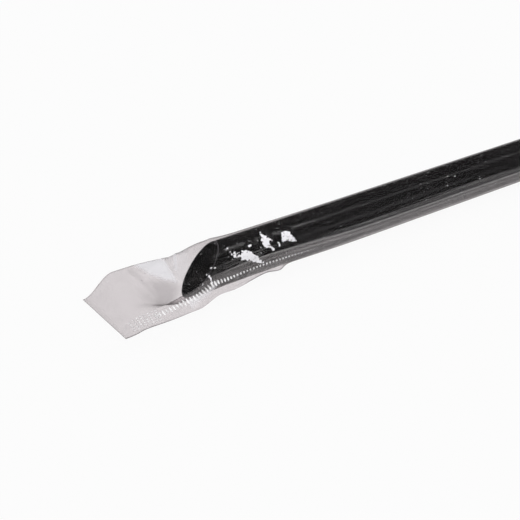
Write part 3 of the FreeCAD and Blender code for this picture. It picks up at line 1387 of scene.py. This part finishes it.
@dataclass(frozen=True)
class StrawFinish:
    """Extruded black plastic with faint lines drawn along it, and a lighter grey on its slanting
    cut face.

    Attributes:
        roughness: The least and the most.
        line_depth: In metres.
        cut_depth: How far behind the cut its colour ends, in metres.
    """

    colour: Colour = (0.003, 0.003, 0.0033, 1.0)
    refraction: float = 1.48
    roughness: Spot = (0.18, 0.32)
    line_grain: Grain = (12.0, 900.0, 900.0)
    line_detail: float = 3.0
    line_bump: float = 0.1
    line_depth: float = 0.00002
    cut_colour: Colour = (0.07, 0.07, 0.075, 1.0)
    cut_depth: float = 0.00012

    def build(self) -> bpy.types.Material:
        """Makes the material.

        Returns:
            The material.
        """
        shader = ShaderTree(bpy.data.materials.new("straw_black_plastic"))
        places = shader.out("TexCoord", "Object")
        lines = shader.noise(places, self.line_grain, self.line_detail)
        behind = self.behind_cut(shader, places)
        surface = shader.plastic(
            shader.paint(behind, self.cut_colour, self.colour),
            shader.ramp(lines, result=self.roughness),
            IOR=self.refraction,
            Normal=shader.bump(lines, self.line_bump, self.line_depth),
        )
        return shader.finish(surface)

    def behind_cut(self, shader: ShaderTree, places: Socket) -> Socket:
        """Where the plastic lies behind the slanting cut face and its lighter grey band.

        Args:
            shader: The material being made.
            places: The places in the frame.

        Returns:
            The mask: 0 on the cut face and 1 beyond its depth.
        """
        size = PackSizes()
        roll = math.radians(size.cut_roll)
        slant = math.radians(size.cut_angle)
        toward = Vector((0, -math.sin(roll), -math.cos(roll)))
        tip = Vector((size.lead_flag, 0, size.axis_height)) + pack_origin(size)
        tip += toward * size.straw_diameter / 2
        normal = Vector((math.sin(slant), 0, 0)) + toward * math.cos(slant)
        from_tip = {0: places, 1: tip * MM}
        offset = shader.out("VectorMath", "Vector", from_tip, operation="SUBTRACT")
        depth = shader.out("VectorMath", "Value", {0: offset, 1: normal}, operation="DOT_PRODUCT")
        return shader.ramp(depth, (self.cut_depth / 3, self.cut_depth), smooth=True)


@dataclass(frozen=True)
class FilmFinish:
    """Thin clear film: it tints what is behind it a little and shines at a slant, with painted
    highlights and painted shade on its patches.

    Attributes:
        edge_tint: The tint where the film is seen at a slant.
        slant_power: How suddenly the slant sets in.
        line_pick: Which greys make a line; torn_blur the same at the ragged border of the painted
            glints.
        line_reach: How far from the fin's root the lines start, in metres.
        lines_past_tip: How far past the straw's tip, in metres.
        fold_width: Of the bright line along the root, in metres.
    """

    tint: Colour = (0.943, 0.929, 0.933, 1.0)
    # Painted shade: the darker tint that the shade patches give the film.
    shaded_tint: Colour = (0.8, 0.785, 0.79, 1.0)
    edge_tint: Colour = (0.4, 0.385, 0.385, 1.0)
    slant_power: float = 5.0
    haze_colour: Colour = (0.78, 0.76, 0.76, 1.0)
    haze_roughness: float = 0.4
    clear_haze: float = 0.006
    weld_haze: float = 0.05
    crinkle_grain: Grain = (260.0, 420.0, 1.0)
    crinkle_detail: float = 4.0
    crinkle_bump: float = 0.1
    crinkle_depth: float = 0.0001
    head_on_shine: float = 0.035
    glancing_shine: float = 0.4
    shine_roughness: float = 0.17
    line_haze: float = 0.09
    line_grain: Grain = (22.0, 2400.0, 1.0)
    line_detail: float = 1.0
    line_pick: Spot = (0.5, 0.66)
    line_reach: float = 0.0028
    lines_past_tip: float = 0.006
    fold_width: float = 0.00028
    fold_strength: float = 2.5
    # Painted highlight: the pale surface of the glint and sheen patches.
    painted_glint_colour: Colour = (0.86, 0.85, 0.88, 1.0)
    painted_glint_roughness: float = 0.3
    torn_grain: Grain = (1300.0, 1500.0, 1.0)
    torn_detail: float = 3.0
    torn_swing: float = 2.2
    torn_blur: Spot = (0.38, 0.62)

    def build(self) -> bpy.types.Material:
        """Makes the material.

        Returns:
            The material.
        """
        shader = ShaderTree(bpy.data.materials.new("clear_film"))
        places = shader.out("UVMap", "UV", uv_map="sheet")
        crinkle = shader.noise(places, self.crinkle_grain, self.crinkle_detail)
        normal = shader.bump(crinkle, self.crinkle_bump, self.crinkle_depth)
        facing = shader.out("LayerWeight", "Facing", {"Normal": normal})
        slant = shader.math("POWER", facing, self.slant_power)

        # Painted shade: where the shade attribute is set, the film's tint darkens.
        shaded = shader.attribute(Effect.SHADE.value)
        head_on = shader.paint(shaded, self.tint, self.shaded_tint)
        tint = shader.paint(slant, head_on, self.edge_tint)
        clear = shader.out("BsdfTransparent", "BSDF", {"Color": tint})
        cloud = shader.ramp(
            shader.attribute("weld"), result=(self.clear_haze, self.weld_haze)
        )
        lines = self.drawn_lines(shader, places)
        milky = shader.math("MULTIPLY_ADD", lines, self.line_haze, cloud, use_clamp=True)
        haze = shader.plastic(self.haze_colour, self.haze_roughness)
        film = shader.blend(milky, clear, haze)

        mirror = {"Color": WHITE, "Roughness": self.shine_roughness, "Normal": normal}
        shine = shader.out("BsdfGlossy", "BSDF", mirror)
        shiny = shader.ramp(slant, result=(self.head_on_shine, self.glancing_shine))
        film = shader.blend(shiny, film, shine)

        # Painted highlights: the sheen and glint patches turn the film into a pale rough surface,
        # standing in for the lamps' reflections on the creases and puckers.
        frost = shader.attribute(Effect.PAINTED_SHEEN.value)
        gleam_share = self.painted_gleam_mask(shader, places)
        white = shader.math("ADD", frost, gleam_share, use_clamp=True)
        painted_glint = shader.plastic(self.painted_glint_colour, self.painted_glint_roughness)
        return shader.finish(shader.blend(white, film, painted_glint))

    def drawn_lines(self, shader: ShaderTree, places: Socket) -> Socket:
        """A mask of fine lines along the fin, with a brighter one along its root.

        Args:
            shader: The material being made.
            places: The places on the flat sheet.

        Returns:
            The mask.
        """
        size = PackSizes()
        root = 2 * size.quarter_girth * MM
        start = size.lead_flag * MM + self.lines_past_tip
        spot = shader.add("SeparateXYZ", {"Vector": places}).outputs
        across = shader.math("ABSOLUTE", spot["Y"])
        near = (root - self.line_reach, root - self.line_reach / 2)
        beside = shader.ramp(across, near, smooth=True)
        along = shader.ramp(spot["X"], (start, start + 2 * self.lines_past_tip), smooth=True)
        grey = shader.noise(places, self.line_grain, self.line_detail)
        lines = shader.ramp(grey, self.line_pick, smooth=True)
        fine = shader.math("MULTIPLY", shader.math("MULTIPLY", beside, along), lines)
        off_root = shader.math("ABSOLUTE", shader.math("SUBTRACT", across, root))
        fold = shader.ramp(off_root, (0, self.fold_width), (self.fold_strength, 0), smooth=True)
        return shader.math("MAXIMUM", fine, shader.math("MULTIPLY", fold, along))

    def painted_gleam_mask(self, shader: ShaderTree, places: Socket) -> Socket:
        """A mask of the painted glints, with ragged borders.

        Args:
            shader: The material being made.
            places: The places on the flat sheet.

        Returns:
            The mask.
        """
        grey = shader.noise(places, self.torn_grain, self.torn_detail)
        swing = shader.math("MULTIPLY_ADD", grey, self.torn_swing, -self.torn_swing / 2)
        total = shader.math("ADD", shader.attribute(Effect.GLEAM.value), swing)
        return shader.ramp(total, self.torn_blur, smooth=True)


@dataclass(frozen=True)
class RungGlintFinish:
    """The pressed rungs and beads, painted white as a highlight where they catch the lamps, and
    fading along the straw as the seam turns from the light.

    Attributes:
        cover: The painted highlight's share at the end of the flag, and beside the tip.
        brighten: Where the first gives way to the second, in metres from the end.
        fade: Where they fade to sleeve_cover, in metres from the end.
        least_spot: The share of the cover that every spot keeps.
    """

    # Painted highlight: the white of the rungs and beads.
    colour: Colour = (0.93, 0.92, 0.93, 1.0)
    roughness: float = 0.25
    cover: Spot = (0.85, 1.0)
    brighten: Spot = (0.011, 0.014)
    sleeve_cover: float = 0.05
    fade: Spot = (0.05, 0.066)
    spot_grain: Grain = (700.0, 700.0, 700.0)
    spot_detail: float = 2.0
    spot_pick: Spot = (0.35, 0.6)
    least_spot: float = 0.55

    def build(self) -> bpy.types.Material:
        """Makes the material.

        Returns:
            The material.
        """
        shader = ShaderTree(bpy.data.materials.new("painted_rung_glint"))
        # The painted highlight rises past the flag's end and fades along the straw, with uneven
        # spots.
        distance = shader.attribute("distance")
        rising = shader.ramp(distance, self.brighten, self.cover)
        fading = shader.ramp(distance, self.fade, (1.0, self.sleeve_cover), smooth=True)
        places = shader.out("TexCoord", "Object")
        spots = shader.noise(places, self.spot_grain, self.spot_detail)
        uneven = shader.ramp(spots, self.spot_pick, (self.least_spot, 1.0))
        alpha = shader.math("MULTIPLY", shader.math("MULTIPLY", rising, fading), uneven)
        return shader.finish(shader.plastic(self.colour, self.roughness, Alpha=alpha))


class Straw:
    """The extruded straw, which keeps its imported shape."""

    def dress(self, plastic: bpy.types.Material) -> None:
        """Gives the straw its plastic.

        Args:
            plastic: The material.
        """
        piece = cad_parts[Node.STRAW.value]
        for place in piece.material_slots:
            place.material = plastic


@dataclass(frozen=True)
class Lamp:
    """A softbox that faces a target.

    Attributes:
        radiance: How bright it looks, where white is 1.
        mirrored: Whether it shows in reflections.
    """

    name: str
    place: Grain
    target: Grain
    size: Spot
    radiance: float
    mirrored: bool = True

    def hang(self) -> None:
        """Puts the lamp in the scene."""
        data = bpy.data.lights.new(self.name, "AREA")
        data.shape = "RECTANGLE"
        data.size, data.size_y = self.size[0] * MM, self.size[1] * MM
        data.energy = self.radiance * math.pi * data.size * data.size_y
        lamp = add_object(self.name, data)
        place = Vector(self.place)
        aim = (Vector(self.target) - place).to_track_quat("-Z", "Y").to_matrix()
        lamp.matrix_world = Matrix.Translation(place * MM) @ aim.to_4x4()
        lamp.visible_glossy = self.mirrored


@dataclass(frozen=True)
class Studio:
    """The white table, the lamps and the camera of the photograph.

    Attributes:
        table_glow: The share of plain white that the camera sees on the table.
        mirrored_room: How bright the room is in reflections.
    """

    camera_place: Grain = (-158.79, -144.38, 133.23)
    elevation: float = 37.79
    azimuth: float = 29.75
    focal: float = 53.5
    sensor_width: float = 36.0
    near_clip: float = 0.005
    table_size: float = 3.0
    table_grey: Colour = (0.5, 0.5, 0.5, 1.0)
    table_glow: float = 0.94
    mirrored_room: float = 0.045
    lamps: tuple[Lamp, ...] = (
        Lamp("overhead", (85, -12, 420), (0, 0, 0), (110, 120), 0.8),
        Lamp("overhead_long", (330, -12, 420), (200, 0, 0), (70, 420), 0.3),
        Lamp("front_fill", (260, -420, 300), (40, 0, 0), (260, 110), 0.25),
        Lamp("soft_sky", (0, 0, 600), (0, 0, 0), (600, 600), 0.4, mirrored=False),
    )

    def build(self) -> None:
        """Makes the table, world, lamps and camera."""
        self.make_table()
        self.make_world()
        for lamp in self.lamps:
            lamp.hang()
        self.make_camera()
        bpy.context.scene.view_settings.view_transform = "Standard"

    def make_table(self) -> None:
        """The table: nearly plain white to the camera, grey by its own light."""
        half = self.table_size / 2
        mesh = bpy.data.meshes.new("table_top")
        corners = [(-half, -half, 0), (half, -half, 0), (half, half, 0), (-half, half, 0)]
        mesh.from_pydata(corners, [], [(0, 1, 2, 3)])
        shader = ShaderTree(bpy.data.materials.new("white_table"))
        ray = shader.add("LightPath").outputs
        seen = shader.math("MAXIMUM", ray["Is Camera Ray"], ray["Is Transmission Ray"])
        share = shader.math("MULTIPLY", seen, self.table_glow)
        plain = shader.out("BsdfDiffuse", "BSDF", {"Color": self.table_grey})
        glow = shader.out("Emission", "Emission", {"Strength": 1.0})
        mesh.materials.append(shader.finish(shader.blend(share, plain, glow)))
        add_object("table_top", mesh)

    def make_world(self) -> None:
        """A white room that is dim in reflections, so that only the lamps shine."""
        world = bpy.data.worlds.new("studio")
        tree = ShaderTree(world)
        mirrored = tree.out("LightPath", "Is Glossy Ray")
        strength = tree.ramp(mirrored, result=(1.0, self.mirrored_room))
        room = tree.out("Background", "Background", {"Color": WHITE, "Strength": strength})
        bpy.context.scene.world = tree.finish(room)

    def make_camera(self) -> None:
        """The camera, where the photograph was taken from."""
        data = bpy.data.cameras.new("camera")
        data.lens = self.focal
        data.sensor_width = self.sensor_width
        data.clip_start = self.near_clip
        camera = add_object("camera", data)
        turn = math.radians(self.azimuth)
        rise = math.radians(self.elevation)
        right = Vector((math.cos(turn), -math.sin(turn), 0))
        ahead = Vector((math.sin(turn), math.cos(turn), 0)) * math.cos(rise)
        back = Vector((0, 0, math.sin(rise))) - ahead
        axes = Matrix((right, back.cross(right), back)).transposed().to_4x4()
        camera.matrix_world = Matrix.Translation(Vector(self.camera_place) * MM) @ axes
        bpy.context.scene.camera = camera


def main() -> None:
    """Builds the pieces in order and reports each."""
    logging.basicConfig(level=logging.INFO, format="%(message)s")
    Studio().build()
    log.info("studio ready")
    Straw().dress(StrawFinish().build())
    log.info("straw dressed")
    wrapper = Wrapper()
    sheet = wrapper.build()
    marks = SeamMarks(wrapper).build(RungGlintFinish().build())
    wrapper.dress(sheet, FilmFinish().build(), marks)
    for piece in [sheet, *marks]:
        log.info("%s: %d faces", piece.name, len(piece.data.polygons))


if __name__ == "__main__":
    main()
